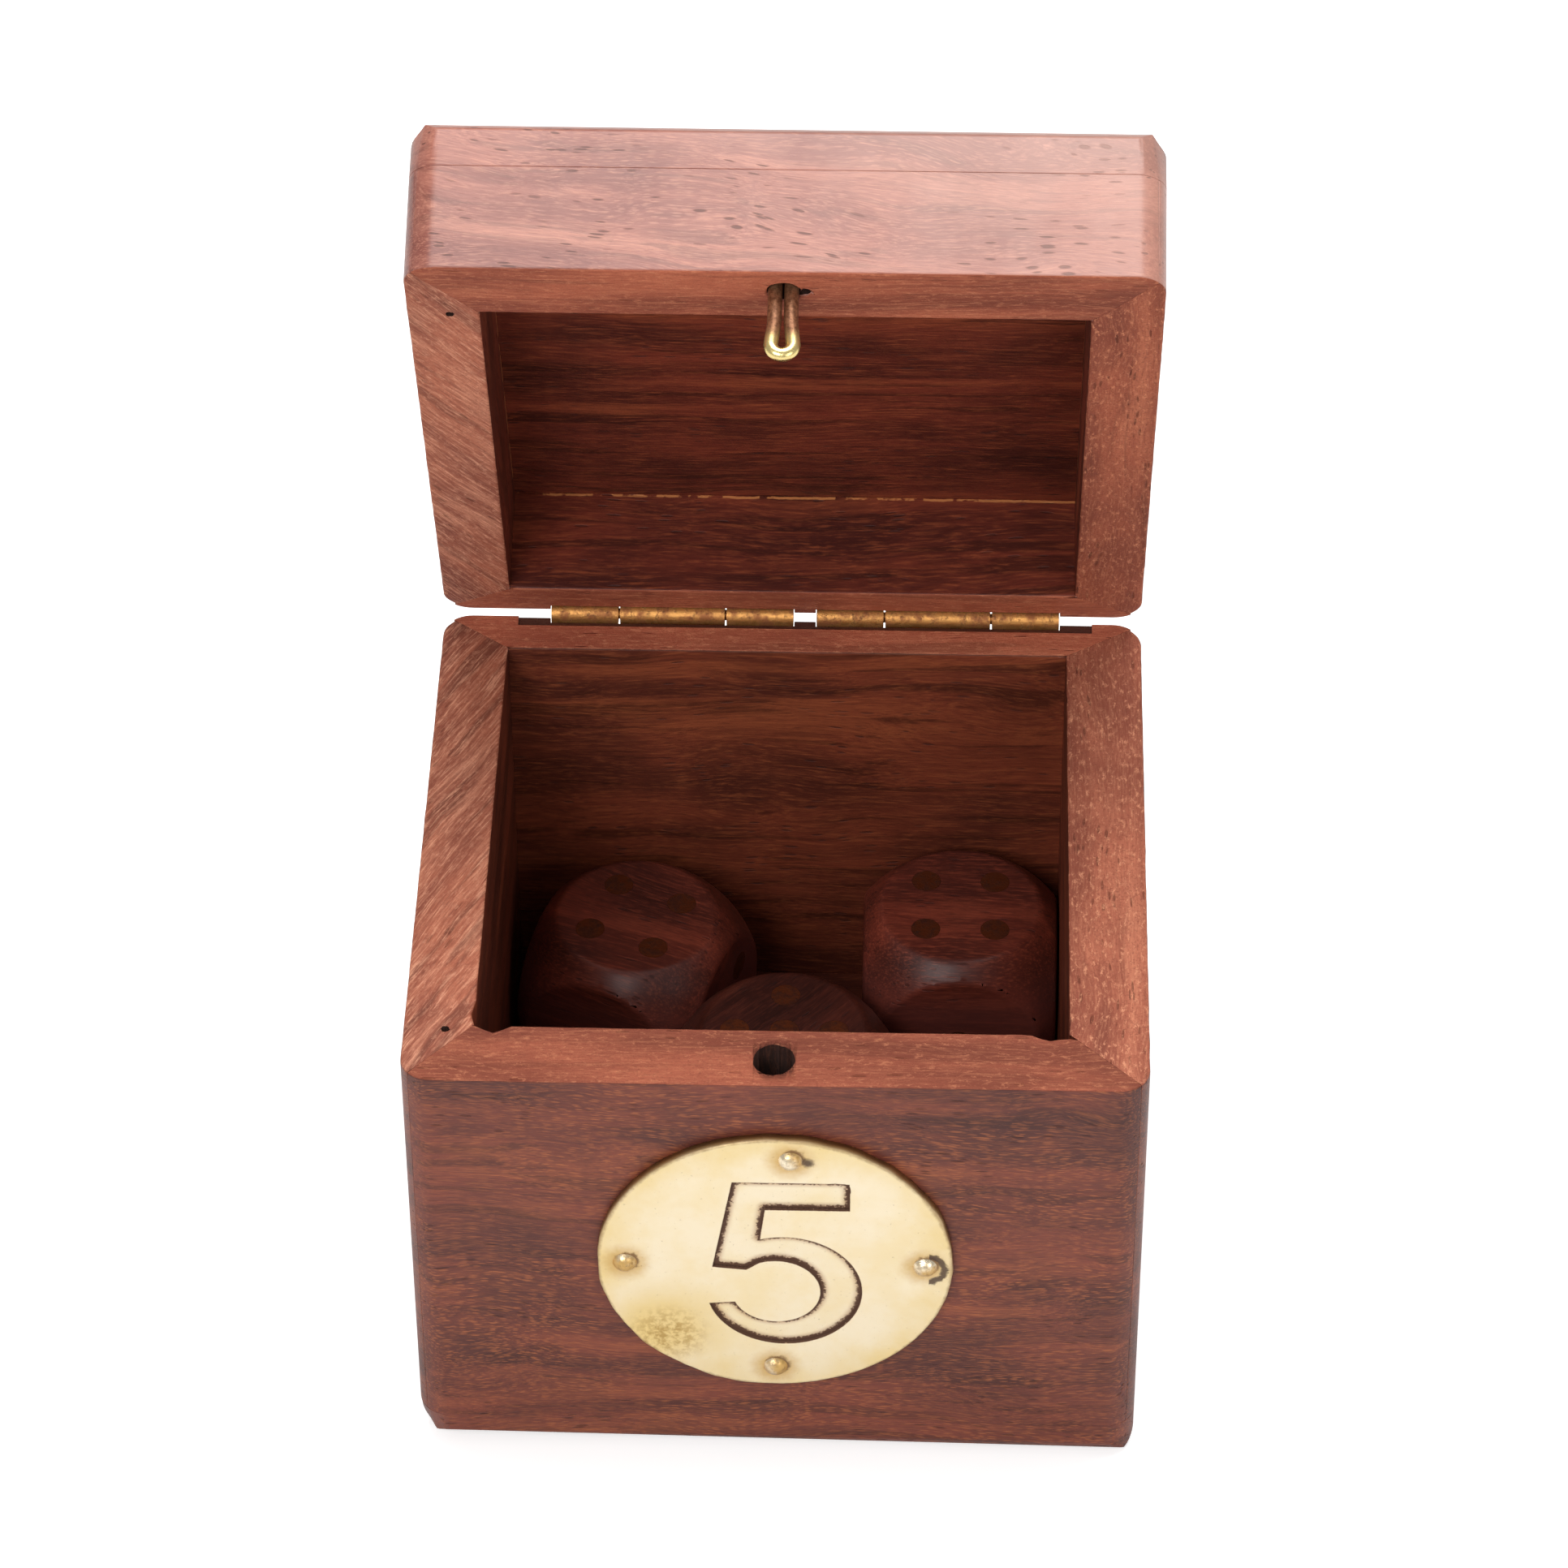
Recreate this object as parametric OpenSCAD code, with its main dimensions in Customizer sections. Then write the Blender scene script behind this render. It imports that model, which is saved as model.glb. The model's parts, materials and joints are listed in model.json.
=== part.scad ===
// Small wooden dice box with a hinged lid, five wooden dice and a round brass number plate.
// The plate faces -Y, the hinges are at +Y and the underside lies at Z = 0.
// The lid is drawn standing open. Lengths are in millimetres.

/* [Box] */
// Width of the box, side to side
box_w = 72; // [71.5:0.5:90]
// Depth of the box, front to back
box_d = 67.5; // [67:0.5:85]
// Height of the body, from its underside to its rim
body_h = 52.5; // [48:0.5:70]
// Height of the lid, from its rim to its top
lid_h = 17.5; // [15.5:0.5:26]
// Angle that the lid stands open, from closed
lid_open = 69.2; // [0:0.1:110]
// Gap between the two rims when the lid is closed
rim_gap = 0.2; // [0.1:0.05:0.5]
// Radius of the four upright corners
corner_r = 3; // [1:0.25:4]
// Radius of the edges round the underside and the lid's top
edge_r = 2.3; // [1:0.1:4]

/* [Body walls] */
// Thickness of the body's front wall
front_t = 7.6; // [6.5:0.1:7.8]
// Thickness of the body's back wall
back_t = 5; // [4.2:0.1:5.3]
// Thickness of the body's left wall
left_t = 6.9; // [6:0.1:7.1]
// Thickness of the body's right wall
right_t = 7.8; // [6:0.1:8]
// Thickness of the base panel under the walls
base_t = 4.6; // [4.2:0.1:8]
// Height of the base panel's raised field inside the walls
field_h = 2; // [1:0.1:4]
// Gap between the raised field and the walls
field_gap = 0.1; // [0.05:0.05:0.3]

/* [Lid walls] */
// Thickness of the lid's front wall
lid_front_t = 8.1; // [6.5:0.1:9.5]
// Thickness of the lid's back wall
lid_back_t = 4.3; // [4.1:0.1:6]
// Thickness of the lid's side walls
lid_side_t = 7; // [6:0.1:9]
// Thickness of the lid's top panel over the walls
lid_top_t = 6.1; // [4.2:0.1:6.5]

/* [Hinges] */
// Length of each hinge along its pin
hinge_w = 25; // [20:0.5:26]
// Distance between the middles of the two hinges
hinge_pitch = 27.4; // [26.5:0.1:29]
// Sideways offset of the pair of hinges from the middle of the box
hinge_shift = 1.3; // [-2:0.1:2]
// Length of the middle knuckle
knuckle_l = 10.8; // [8:0.2:12]
// Outer radius of the knuckles
knuckle_r = 1.1; // [1:0.05:1.2]
// Gap between neighbouring knuckles, and between a knuckle and the other leaf
knuckle_gap = 0.2; // [0.1:0.05:0.4]
// Thickness of the leaves
leaf_t = 0.6; // [0.5:0.05:0.7]
// Height of a leaf from the pin's axis to its free edge
leaf_h = 8.5; // [7.5:0.1:9]
// Gap round a leaf in its recess
leaf_gap = 0.1; // [0.05:0.05:0.3]
// Radius of the hinge pins
hinge_pin_r = 0.55; // [0.45:0.05:0.6]
// Running clearance round the hinge pins
hinge_pin_clear = 0.03; // [0.02:0.01:0.08]
// Distance from a hinge's middle to each of its screws
screw_x = 8; // [6:0.25:9]
// Distance from the pin's axis to the screws
screw_drop = 5.2; // [4.2:0.1:5.8]
// Radius of the screw heads
screw_head_r = 1.4; // [1.2:0.05:1.6]
// Radius of the screw shanks
screw_r = 0.7; // [0.5:0.05:0.8]
// Length of the screws from the leaf's face
screw_l = 3.4; // [2.5:0.1:3.6]
// Width of the slot in a screw head
screw_slot_w = 0.4; // [0.3:0.05:0.5]
// Depth of the slot in a screw head
screw_slot_d = 0.3; // [0.2:0.05:0.4]
// Gap between the knuckles and the wood in front of them
pocket_gap = 0.15; // [0.1:0.05:0.3]
// Depth of the shallow step along the top of the body's back wall
step_d = 1.4; // [1:0.1:2.5]
// Height of that step
step_h = 0.2; // [0.1:0.05:0.5]
// Length of that step past the hinges at each end
step_over = 3.4; // [1:0.1:4]

/* [Catch] */
// Diameter of the spring wire
wire_d = 1.38; // [1.2:0.02:1.45]
// Gap between the two legs of the wire
leg_gap = 0.18; // [0.1:0.02:0.3]
// Width over the round bend of the wire
bend_w = 3.5; // [3.3:0.05:3.6]
// Distance that the wire stands out of the lid's rim
catch_l = 7.4; // [6:0.1:8]
// Straight length of the legs below the rim
leg_l = 3.2; // [2:0.1:3.5]
// Length of the legs inside the lid's front wall
leg_in = 5.5; // [3:0.1:7]
// Distance from the front face to the wire's middle
catch_in = 3.6; // [3.3:0.1:4.2]
// Sideways place of the catch
catch_x = -0.1; // [-5:0.1:5]
// Clearance between the bend and the hole that it snaps into
catch_clear = 0.12; // [0.1:0.02:0.4]
// Room under the bend in that hole
catch_under = 0.8; // [0.5:0.05:0.9]
// Gap between the legs and their socket in the lid
socket_gap = 0.05; // [0.03:0.01:0.2]

/* [Plate] */
// Diameter of the brass plate
plate_d = 35.2; // [34:0.2:37]
// Thickness of the brass plate
plate_t = 1; // [0.6:0.05:1.5]
// Distance from the body's rim down to the plate's middle
plate_drop = 24; // [23.8:0.1:26]
// Depth of the stamped numeral
numeral_depth = 0.35; // [0.1:0.05:0.5]
// Distance from the plate's edge to the middles of its pins
pin_in = 2.9; // [2.6:0.1:3.4]
// Radius of a pin's domed head where it meets the plate
pin_head_r = 1.2; // [0.9:0.05:1.4]
// Height of a pin's domed head
pin_head_h = 0.75; // [0.4:0.05:0.85]
// Radius of a pin's shank
pin_r = 0.6; // [0.4:0.05:0.8]
// Length of a pin's shank from the plate's face
pin_l = 5; // [3:0.25:6]
// Clearance round the pins
pin_clear = 0.03; // [0.02:0.01:0.1]

/* [Brad holes] */
// Radius of the open brad hole in each left rim
brad_r = 0.5; // [0.3:0.05:0.8]
// Depth of a brad hole
brad_depth = 2; // [1:0.25:4]
// Distance of the brad holes from the left face
brad_in = 4.1; // [2.5:0.1:4.5]
// Distance of the body's brad hole from the front face
brad_body_y = 6.9; // [6.5:0.1:12]
// Distance of the lid's brad hole from the front face
brad_lid_y = 8.4; // [8:0.1:12]

/* [Dice] */
// Width of a die over its flat faces, as a share of the hollow's mean width
die_share = 0.36; // [0.34:0.001:0.361]
// Ball that rounds a die's corners and edges, as a share of the die's width
ball_share = 1.297; // [1.24:0.001:1.31]
// Distance from the middle of a face to a pip's row, as a share of the die's width
row_share = 0.178; // [0.16:0.001:0.19]
// Distance from the middle of a face to the outer pips of six, as a share of the die's width
six_share = 0.218; // [0.2:0.001:0.225]
// Radius of a pip, as a share of the die's width
pip_share = 0.074; // [0.06:0.001:0.08]
// Depth of a pip, as a share of the die's width
pip_depth_share = 0.05; // [0.03:0.005:0.07]
// Gap round a pip in its hole
pip_gap = 0.02; // [0.01:0.01:0.05]
// Gap between a die and the wall beside it
die_gap = 0.25; // [0.2:0.05:0.4]
// Gap between the rear left die and the left wall
loose_gap = 0.71; // [0.6:0.05:0.8]
// Turn of the rear left die
loose_turn = 22; // [20:0.5:24]
// Place of the middle die right of the middle of the hollow, as a share of the die's width
middle_x_share = 0.022; // [0.01:0.001:0.03]
// Place of the middle die in front of the middle of the hollow, as a share of the die's width
middle_y_share = 0.087; // [0.06:0.001:0.09]

/* [Hidden] */
$fn = 64;
// Overrun of a cutting shape past the face that it cuts
cut = 1;

wood = [0.44, 0.20, 0.12];
rim_wood = [0.58, 0.30, 0.20];
dice_wood = [0.33, 0.14, 0.10];
bright_brass = [0.90, 0.78, 0.50];
dull_brass = [0.45, 0.34, 0.17];

half_w = box_w / 2;
half_d = box_d / 2;
body_wall_h = body_h - base_t;
floor_z = base_t + field_h;
lid_z = body_h + rim_gap;
lid_wall_h = lid_h - lid_top_t;
pivot_y = half_d - leaf_t + knuckle_r;
pivot_z = body_h + rim_gap / 2;
hinge_x = [hinge_shift - hinge_pitch / 2, hinge_shift + hinge_pitch / 2];

// Inside faces of the body's walls
hollow_x0 = left_t - half_w;
hollow_x1 = half_w - right_t;
hollow_y0 = front_t - half_d;
hollow_y1 = half_d - back_t;

// The wire's middle line: straight legs, a short splay and a half-round bend
wire_r = wire_d / 2;
knee_swell = 0.03;
leg_x = (wire_d + leg_gap) / 2;
bend_r = (bend_w - wire_d) / 2;
bend_z = -catch_l + wire_r + bend_r;
catch_y = catch_in - half_d;
// Swinging out, the bend drifts forward, so its hole is centred half that drift forward and holds both ends
catch_reach = pivot_y - catch_y;
catch_drift = sqrt(catch_reach * catch_reach + catch_l * catch_l) - catch_reach;
catch_hole_r = sqrt(bend_r * bend_r + catch_drift * catch_drift / 4) + wire_r + catch_clear;
catch_hole_h = catch_l - rim_gap + catch_under;

plate_z = body_h - plate_drop;
pin_circle_r = plate_d / 2 - pin_in;

// Angles of the plate's pins, counted from the right, the upper one set by eye as on the real plate
pin_angles = [0, 84, 180, 270];

// Numeral on a plate 100 wide: its bowl is a ring with one side cut away, its stem and bar are one polygon
numeral_plate_d = 100;
bowl_r = 21.6;
bowl_at = [2.6, -10.5];
counter_r = 12.5;
counter_at = [0.3, -10.8];
stem = [[-11.6, 32.7], [20.7, 32.7], [20.7, 22.2], [-2.8, 22.2], [-4.3, 9.7], [-4.3, 0.9], [-8, -2], [-17.3, -1.1]];
bowl_cut = [[-4.3, 14.2], [-4.3, 0], [-7.7, -15.1], [-22.7, -16.5], [-22.7, 14.2]];

// The dice follow the hollow, whose mean width decides how large five of them can be
die_side = die_share * (hollow_x1 - hollow_x0 + hollow_y1 - hollow_y0) / 2;
pip_row = row_share * die_side;
pip_six = six_share * die_side;
pip_r = pip_share * die_side;
pip_depth = pip_depth_share * die_side;
middle_x = (hollow_x0 + hollow_x1) / 2 + middle_x_share * die_side;
middle_y = (hollow_y0 + hollow_y1) / 2 - middle_y_share * die_side;
die_half = die_side / 2;
die_r = ball_share * die_half;
die_face_r = sqrt(die_r * die_r - die_half * die_half);
// Reach of the turned die towards a wall
turned_half = die_half * cos(loose_turn) + die_face_r * sin(loose_turn);
// Each die: x, y, turn, and the numbers on its top, front and right
dice = [
    [hollow_x0 + turned_half + loose_gap, hollow_y1 - turned_half - die_gap, -loose_turn, 4, 1, 2],
    [hollow_x1 - die_half - die_gap, hollow_y1 - die_half - die_gap, 0, 4, 1, 5],
    [middle_x, middle_y, 45, 5, 3, 6],
    [hollow_x0 + die_half + die_gap, hollow_y0 + die_half + die_gap, 0, 3, 2, 1],
    [hollow_x1 - die_half - die_gap, hollow_y0 + die_half + die_gap, 0, 6, 5, 4]
];
pip_places = [
    [[0, 0]],
    [[-pip_row, pip_row], [pip_row, -pip_row]],
    [[-pip_row, pip_row], [0, 0], [pip_row, -pip_row]],
    [for (i = [-1, 1], j = [-1, 1]) [i * pip_row, j * pip_row]],
    concat([[0, 0]], [for (i = [-1, 1], j = [-1, 1]) [i * pip_row, j * pip_row]]),
    [for (i = [-1, 1], j = [-1, 0, 1]) [i * pip_row, j * pip_six]]
];

// Rectangle about the origin with round corners
module rounded_rect(w, d, r) {
    square([w - 2 * r, d], center = true);
    square([w, d - 2 * r], center = true);
    for (i = [-1, 1], j = [-1, 1])
        translate([i * (w / 2 - r), j * (d / 2 - r)])
            circle(r);
}

// Profile standing on y = 0 with its two lower corners round
module footed_profile(w, h, r) {
    translate([r - w / 2, 0])
        square([w - 2 * r, h]);
    translate([-w / 2, r])
        square([w, h - r]);
    for (i = [-1, 1])
        translate([i * (w / 2 - r), r])
            circle(r);
}

// Panel with round upright corners and round lower edges
module edged_panel(t) {
    r = min(edge_r, t / 2);
    intersection() {
        linear_extrude(t)
            rounded_rect(box_w, box_d, corner_r);
        rotate([90, 0, 0])
            linear_extrude(box_d + 2 * cut, center = true)
                footed_profile(box_w, t, r);
        rotate([90, 0, 90])
            linear_extrude(box_w + 2 * cut, center = true)
                footed_profile(box_d, t, r);
    }
}

// One mitred wall: the part of the rounded plan inside a four-cornered outline
module mitred_wall(h, outline) {
    intersection() {
        linear_extrude(h)
            rounded_rect(box_w, box_d, corner_r);
        linear_extrude(h)
            polygon(outline);
    }
}

// Outlines of the four walls of a frame whose wall thicknesses are given
function front_outline(f, b, l, r) =
    [[-half_w, -half_d], [half_w, -half_d], [half_w - r, f - half_d], [l - half_w, f - half_d]];
function back_outline(f, b, l, r) =
    [[half_w, half_d], [-half_w, half_d], [l - half_w, half_d - b], [half_w - r, half_d - b]];
function left_outline(f, b, l, r) =
    [[-half_w, half_d], [-half_w, -half_d], [l - half_w, f - half_d], [l - half_w, half_d - b]];
function right_outline(f, b, l, r) =
    [[half_w, -half_d], [half_w, half_d], [half_w - r, half_d - b], [half_w - r, f - half_d]];

// Carries the lid's pieces from closed to the angle that the lid stands open
module open_lid() {
    translate([0, pivot_y, pivot_z])
        rotate([-lid_open, 0, 0])
            translate([0, -pivot_y, -pivot_z])
                children();
}

// Turns a shape that stands up from the parting plane down into the body when side is -1
module flip_side(side) {
    if (side < 0)
        mirror([0, 0, 1])
            children();
    else
        children();
}

// Puts a hinge's pieces at hinge i; side is 1 for the lid's leaf and -1 for the body's
module at_hinge(i, side) {
    translate([hinge_x[i], pivot_y, pivot_z])
        flip_side(side)
            children();
}

// Countersunk screw along +Y, with its head's face at y = 0 and grown all round by a clearance
module screw_shape(clearance) {
    sink = screw_head_r - screw_r;
    rotate([90, 0, 0]) {
        cylinder(h = sink, r1 = screw_head_r + clearance, r2 = screw_r + clearance);
        cylinder(h = screw_l + clearance, r = screw_r + clearance);
    }
}

// Places of a leaf's two screws, from the pin's axis, with the head in the leaf's outer face
module at_screws() {
    for (i = [-1, 1])
        translate([i * screw_x, half_d - pivot_y, screw_drop])
            children();
}

module slotted_screws() {
    at_screws()
        difference() {
            screw_shape(0);
            translate([-screw_head_r - cut, -screw_slot_d, -screw_slot_w / 2])
                cube([2 * (screw_head_r + cut), screw_slot_d + cut, screw_slot_w]);
        }
}

// A leaf with its knuckles, from the pin's axis upwards; each span is [x, length]
module leaf_with_knuckles(spans) {
    leaf_y = -knuckle_r;
    root = knuckle_r + knuckle_gap;
    difference() {
        union() {
            translate([-hinge_w / 2, leaf_y, root])
                cube([hinge_w, leaf_t, leaf_h - root]);
            for (s = spans) {
                translate([s[0], leaf_y, 0])
                    cube([s[1], leaf_t, root + leaf_t]);
                translate([s[0], 0, 0])
                    rotate([0, 90, 0])
                        cylinder(h = s[1], r = knuckle_r);
            }
        }
        translate([-hinge_w, 0, 0])
            rotate([0, 90, 0])
                cylinder(h = 2 * hinge_w, r = hinge_pin_r + hinge_pin_clear);
        at_screws()
            screw_shape(pin_clear);
    }
}

outer_l = (hinge_w - knuckle_l) / 2 - knuckle_gap;
body_spans = [[-hinge_w / 2, outer_l], [hinge_w / 2 - outer_l, outer_l]];
lid_spans = [[-knuckle_l / 2, knuckle_l]];

module body_leaf(i) {
    color(dull_brass)
        at_hinge(i, -1)
            leaf_with_knuckles(body_spans);
}

module lid_leaf(i) {
    color(dull_brass)
        open_lid()
            at_hinge(i, 1)
                leaf_with_knuckles(lid_spans);
}

module hinge_pin(i) {
    color(dull_brass)
        translate([hinge_x[i] - hinge_w / 2, pivot_y, pivot_z])
            rotate([0, 90, 0])
                cylinder(h = hinge_w, r = hinge_pin_r);
}

// What each hinge takes out of a back wall: a leaf's recess, a deeper pocket for the knuckles and screw holes
module hinge_cuts(side) {
    pocket = knuckle_r + pocket_gap;
    for (i = [0, 1])
        at_hinge(i, side) {
            translate([-hinge_w / 2 - leaf_gap, -knuckle_r, -cut])
                cube([hinge_w + 2 * leaf_gap, knuckle_r + cut, leaf_h + leaf_gap + cut]);
            translate([-hinge_w / 2 - leaf_gap, -pocket, -cut])
                cube([hinge_w + 2 * leaf_gap, pocket + cut, pocket + cut]);
            at_screws()
                screw_shape(pin_clear);
        }
}

module base_panel() {
    color(wood) {
        edged_panel(base_t);
        translate([hollow_x0 + field_gap, hollow_y0 + field_gap, base_t / 2])
            cube([
                hollow_x1 - hollow_x0 - 2 * field_gap,
                hollow_y1 - hollow_y0 - 2 * field_gap,
                base_t / 2 + field_h
            ]);
    }
}

module front_wall() {
    color(wood)
        difference() {
            translate([0, 0, base_t])
                mitred_wall(body_wall_h, front_outline(front_t, back_t, left_t, right_t));
            translate([catch_x, catch_y - catch_drift / 2, body_h - catch_hole_h])
                cylinder(h = catch_hole_h + cut, r = catch_hole_r);
            at_plate_pins()
                cylinder(h = pin_l + pin_clear, r = pin_r + pin_clear);
        }
}

module back_wall() {
    color(wood)
        difference() {
            translate([0, 0, base_t])
                mitred_wall(body_wall_h, back_outline(front_t, back_t, left_t, right_t));
            hinge_cuts(-1);
            translate([hinge_x[0] - hinge_w / 2 - step_over, half_d - step_d, body_h - step_h])
                cube([hinge_pitch + hinge_w + 2 * step_over, step_d + cut, step_h + cut]);
        }
}

module left_wall() {
    color(wood)
        difference() {
            translate([0, 0, base_t])
                mitred_wall(body_wall_h, left_outline(front_t, back_t, left_t, right_t));
            translate([brad_in - half_w, brad_body_y - half_d, body_h - brad_depth])
                cylinder(h = brad_depth + cut, r = brad_r);
        }
}

module right_wall() {
    color(wood)
        translate([0, 0, base_t])
            mitred_wall(body_wall_h, right_outline(front_t, back_t, left_t, right_t));
}

// Numeral five in the plate's plane
module numeral() {
    scale(plate_d / numeral_plate_d) {
        polygon(stem);
        difference() {
            translate(bowl_at)
                circle(bowl_r);
            translate(counter_at)
                circle(counter_r);
            polygon(bowl_cut);
        }
    }
}

// Each pin's place on the plate's face, looking into the wall
module at_plate_pins() {
    for (a = pin_angles)
        translate([pin_circle_r * cos(a), -half_d - plate_t, plate_z + pin_circle_r * sin(a)])
            rotate([-90, 0, 0])
                children();
}

module number_plate() {
    color(bright_brass)
        difference() {
            translate([0, -half_d, plate_z])
                rotate([90, 0, 0])
                    cylinder(h = plate_t, r = plate_d / 2);
            translate([0, -half_d - plate_t + numeral_depth, plate_z])
                rotate([90, 0, 0])
                    linear_extrude(numeral_depth + cut)
                        numeral();
            at_plate_pins()
                cylinder(h = pin_l, r = pin_r + pin_clear);
        }
}

// Domed head: the cap of a sphere that has the head's radius and height
module domed_pin() {
    dome_r = (pin_head_r * pin_head_r + pin_head_h * pin_head_h) / (2 * pin_head_h);
    cylinder(h = pin_l, r = pin_r);
    intersection() {
        translate([0, 0, dome_r - pin_head_h])
            sphere(dome_r);
        translate([0, 0, -pin_head_h - cut])
            cylinder(h = pin_head_h + cut, r = pin_head_r + cut);
    }
}

module plate_pins() {
    color(bright_brass)
        at_plate_pins()
            domed_pin();
}

module body_hinge_screws() {
    color(dull_brass)
        for (i = [0, 1])
            at_hinge(i, -1)
                slotted_screws();
}

module lid_hinge_screws() {
    color(dull_brass)
        open_lid()
            for (i = [0, 1])
                at_hinge(i, 1)
                    slotted_screws();
}

module lid_top_panel() {
    color(wood)
        open_lid()
            translate([0, 0, lid_z + lid_h])
                mirror([0, 0, 1])
                    edged_panel(lid_top_t);
}

module lid_front_wall() {
    color(rim_wood)
        open_lid()
            translate([0, 0, lid_z])
                difference() {
                    mitred_wall(lid_wall_h, front_outline(lid_front_t, lid_back_t, lid_side_t, lid_side_t));
                    translate([catch_x, catch_y, -cut])
                        cylinder(h = leg_in + socket_gap + cut, r = leg_x + wire_r + socket_gap);
                }
}

module lid_back_wall() {
    color(rim_wood)
        open_lid()
            difference() {
                translate([0, 0, lid_z])
                    mitred_wall(lid_wall_h, back_outline(lid_front_t, lid_back_t, lid_side_t, lid_side_t));
                hinge_cuts(1);
            }
}

module lid_left_wall() {
    color(rim_wood)
        open_lid()
            translate([0, 0, lid_z])
                difference() {
                    mitred_wall(lid_wall_h, left_outline(lid_front_t, lid_back_t, lid_side_t, lid_side_t));
                    translate([brad_in - half_w, brad_lid_y - half_d, -cut])
                        cylinder(h = brad_depth + cut, r = brad_r);
                }
}

module lid_right_wall() {
    color(rim_wood)
        open_lid()
            translate([0, 0, lid_z])
                mitred_wall(lid_wall_h, right_outline(lid_front_t, lid_back_t, lid_side_t, lid_side_t));
}

// Round rod between two points of the plane y = 0, with a slightly swollen ball at its end
module wire_run(a, b) {
    run = [b[0] - a[0], b[1] - a[1]];
    translate([a[0], 0, a[1]])
        rotate([0, atan2(run[0], run[1]), 0])
            cylinder(h = norm(run), r = wire_r);
    translate([b[0], 0, b[1]])
        sphere(wire_r + knee_swell);
}

module catch_clip() {
    color(bright_brass)
        open_lid()
            translate([catch_x, catch_y, lid_z]) {
                for (i = [-1, 1]) {
                    wire_run([i * leg_x, leg_in], [i * leg_x, -leg_l]);
                    wire_run([i * leg_x, -leg_l], [i * bend_r, bend_z]);
                }
                translate([0, 0, bend_z])
                    rotate([-90, 0, 0])
                        rotate_extrude(angle = 180)
                            translate([bend_r, 0])
                                circle(wire_r);
            }
}

// Turns the +Z face of a shape to each of a die's six faces in turn; the numbers on opposite faces sum to seven
module on_faces(top, front, right) {
    turns = [[0, 0, 0], [180, 0, 0], [90, 0, 0], [-90, 0, 0], [0, 90, 0], [0, -90, 0]];
    numbers = [top, 7 - top, front, 7 - front, right, 7 - right];
    for (k = [0:5])
        rotate(turns[k])
            for (p = pip_places[numbers[k] - 1])
                translate([p[0], p[1], die_half])
                    children();
}

module at_die(i) {
    d = dice[i];
    translate([d[0], d[1], floor_z + die_half])
        rotate([0, 0, d[2]])
            children();
}

module die(i) {
    color(dice_wood)
        at_die(i)
            difference() {
                intersection() {
                    cube(die_side, center = true);
                    sphere(die_r);
                }
                on_faces(dice[i][3], dice[i][4], dice[i][5])
                    translate([0, 0, -pip_depth])
                        cylinder(h = pip_depth + cut, r = pip_r + pip_gap);
            }
}

module die_pips(i) {
    color(dull_brass)
        at_die(i)
            on_faces(dice[i][3], dice[i][4], dice[i][5])
                translate([0, 0, -pip_depth])
                    cylinder(h = pip_depth, r = pip_r);
}

base_panel();
front_wall();
back_wall();
left_wall();
right_wall();
number_plate();
plate_pins();
body_leaf(0);  // left_hinge_body_leaf
body_leaf(1);  // right_hinge_body_leaf
hinge_pin(0);  // left_hinge_pin
hinge_pin(1);  // right_hinge_pin
body_hinge_screws();
lid_top_panel();
lid_front_wall();
lid_back_wall();
lid_left_wall();
lid_right_wall();
catch_clip();
lid_leaf(0);  // left_hinge_lid_leaf
lid_leaf(1);  // right_hinge_lid_leaf
lid_hinge_screws();
die(0);  // die_1
die(1);  // die_2
die(2);  // die_3
die(3);  // die_4
die(4);  // die_5
die_pips(0);  // die_1_pips
die_pips(1);  // die_2_pips
die_pips(2);  // die_3_pips
die_pips(3);  // die_4_pips
die_pips(4);  // die_5_pips
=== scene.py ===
"""The dice box as it looks in use: worn red-brown hardwood, aged brass fittings and polished wooden dice."""

import itertools
import json
import math

import bmesh
import bpy
from mathutils import Matrix, Vector
from mathutils.bvhtree import BVHTree

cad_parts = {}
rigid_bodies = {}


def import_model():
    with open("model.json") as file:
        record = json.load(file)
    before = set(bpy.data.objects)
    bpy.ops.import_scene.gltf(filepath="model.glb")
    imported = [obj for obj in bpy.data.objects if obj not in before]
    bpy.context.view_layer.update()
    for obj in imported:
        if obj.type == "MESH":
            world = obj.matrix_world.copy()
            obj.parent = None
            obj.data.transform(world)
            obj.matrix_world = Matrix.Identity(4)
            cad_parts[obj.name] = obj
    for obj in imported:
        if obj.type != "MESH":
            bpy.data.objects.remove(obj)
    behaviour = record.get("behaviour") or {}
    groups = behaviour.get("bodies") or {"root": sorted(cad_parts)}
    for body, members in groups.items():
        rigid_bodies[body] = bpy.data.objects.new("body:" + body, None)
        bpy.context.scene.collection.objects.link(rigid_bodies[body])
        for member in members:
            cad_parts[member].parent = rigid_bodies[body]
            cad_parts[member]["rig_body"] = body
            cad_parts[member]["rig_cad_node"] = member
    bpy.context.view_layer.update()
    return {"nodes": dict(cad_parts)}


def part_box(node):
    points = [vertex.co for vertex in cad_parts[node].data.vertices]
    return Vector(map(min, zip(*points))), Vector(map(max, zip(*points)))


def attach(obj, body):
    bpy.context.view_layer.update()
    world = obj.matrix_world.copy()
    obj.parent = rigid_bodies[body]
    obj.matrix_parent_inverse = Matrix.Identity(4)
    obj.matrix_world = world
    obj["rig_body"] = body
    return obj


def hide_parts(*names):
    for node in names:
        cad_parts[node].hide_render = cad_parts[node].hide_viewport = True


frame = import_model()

MM = 0.001

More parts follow.
